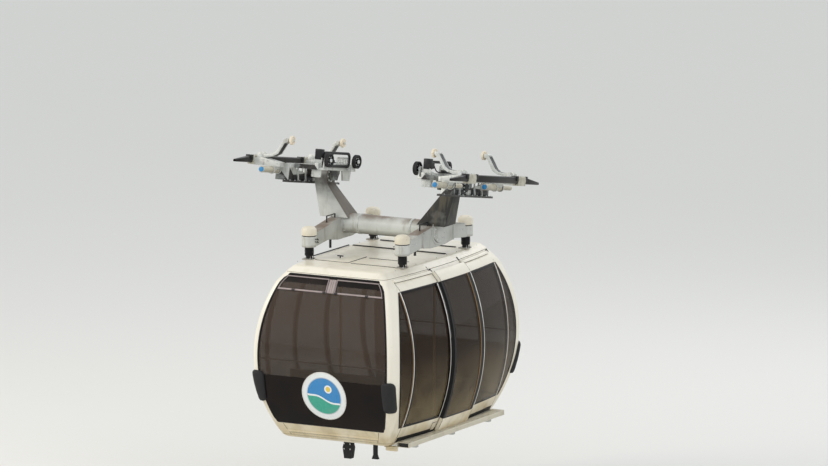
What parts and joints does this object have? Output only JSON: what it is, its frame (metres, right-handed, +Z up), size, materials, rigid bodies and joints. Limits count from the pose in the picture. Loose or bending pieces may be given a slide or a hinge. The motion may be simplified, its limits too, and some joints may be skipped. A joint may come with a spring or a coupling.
{
  "type": "cable car cabin",
  "caption": "Barrel-sided passenger cabin hung by a lateral tube and two leaning arms from twin grip carriages on parallel ropes, with a sliding door and step",
  "frame": {"origin": "midway between the two ropes, at their height, above the hanger's pivot", "axes": "+X towards the door side, +Y along the line of travel away from the end seen in the picture, +Z up"},
  "size_m": [3.334, 3.6172, 4.1697],
  "materials": {
    "cream_paint": "gloss cream, weathered",
    "grey_paint": "satin light grey, brown grime",
    "dark_glass": "dark tinted",
    "black_rubber": "matte black",
    "black_steel": "satin black",
    "bright_steel": "zinc plated",
    "cream_plastic": "cream plastic",
    "inner_plastic": "dark moulded plastic",
    "pole_metal": "yellowish grab pole",
    "aluminium": "plain extrusion",
    "disc_enamel": "blue and white enamel, plain"
  },
  "bodies": {
    "right_carriage": {"right_frame": "grey_paint", "right_grips": "bright_steel", "right_rope_sleeve": "black_steel", "right_levers": "bright_steel", "right_lever_rollers": "cream_plastic", "right_springs": "bright_steel", "right_guard": "black_steel"},
    "cabin_hanger": {"roof_panel": "cream_paint", "floor_panel": "inner_plastic", "end_frames": "cream_paint", "end_windows": "dark_glass", "door_side_wall": "cream_paint", "far_side_wall": "cream_paint", "door_side_windows": "dark_glass", "far_side_windows": "dark_glass", "step": "aluminium", "underframe": "grey_paint", "bumpers": "black_rubber", "benches": "inner_plastic", "grab_poles": "pole_metal", "handrails": "aluminium", "guide_shoes": "black_rubber", "emblem_disc": "disc_enamel", "roof_strips": "black_rubber", "vent_frames": "aluminium", "door_tracks": "cream_paint", "cross_tube": "grey_paint", "side_beams": "grey_paint", "hanger_arms": "grey_paint", "damper_caps": "cream_plastic", "damper_rings": "black_rubber", "damper_rods": "black_steel"},
    "left_carriage": {"left_frame": "grey_paint", "left_grips": "bright_steel", "left_rope_sleeve": "black_steel", "left_levers": "bright_steel", "left_lever_rollers": "cream_plastic", "left_springs": "bright_steel", "left_guard": "black_steel"},
    "door": {"door_leaf": "cream_paint", "door_glass": "dark_glass"},
    "right_front_wheel": {"right_front_wheel": "black_rubber"},
    "right_rear_wheel": {"right_rear_wheel": "black_rubber"},
    "left_front_wheel": {"left_front_wheel": "black_rubber"},
    "left_rear_wheel": {"left_rear_wheel": "black_rubber"}
  },
  "joints": [
    {"name": "swing", "type": "hinge", "parent": "right_carriage", "child": "cabin_hanger", "pos_m": [0, 0, -0.11], "axis": [1, 0, 0], "range_deg": [-39, 20]},
    {"name": "left_pivot", "type": "hinge", "parent": "cabin_hanger", "child": "left_carriage", "pos_m": [0, 0, -0.11], "axis": [1, 0, 0], "range_deg": [-20, 39]},
    {"name": "door_slide", "type": "slide", "parent": "cabin_hanger", "child": "door", "axis": [0, -1, 0], "range_m": [0, 0.88]},
    {"name": "right_front_wheel_spin", "type": "hinge", "parent": "right_carriage", "child": "right_front_wheel", "pos_m": [0, 0.35957, 0.0371], "axis": [1, 0, 0], "continuous": true},
    {"name": "right_rear_wheel_spin", "type": "hinge", "parent": "right_carriage", "child": "right_rear_wheel", "pos_m": [0, -0.38979, 0.16384], "axis": [1, 0, 0], "continuous": true},
    {"name": "left_front_wheel_spin", "type": "hinge", "parent": "left_carriage", "child": "left_front_wheel", "pos_m": [0, 0.35957, 0.0371], "axis": [1, 0, 0], "continuous": true},
    {"name": "left_rear_wheel_spin", "type": "hinge", "parent": "left_carriage", "child": "left_rear_wheel", "pos_m": [0, -0.38979, 0.16384], "axis": [1, 0, 0], "continuous": true}
  ],
  "couplings": [
    {"joint": "left_pivot", "follows": "swing", "ratio": -1}
  ]
}
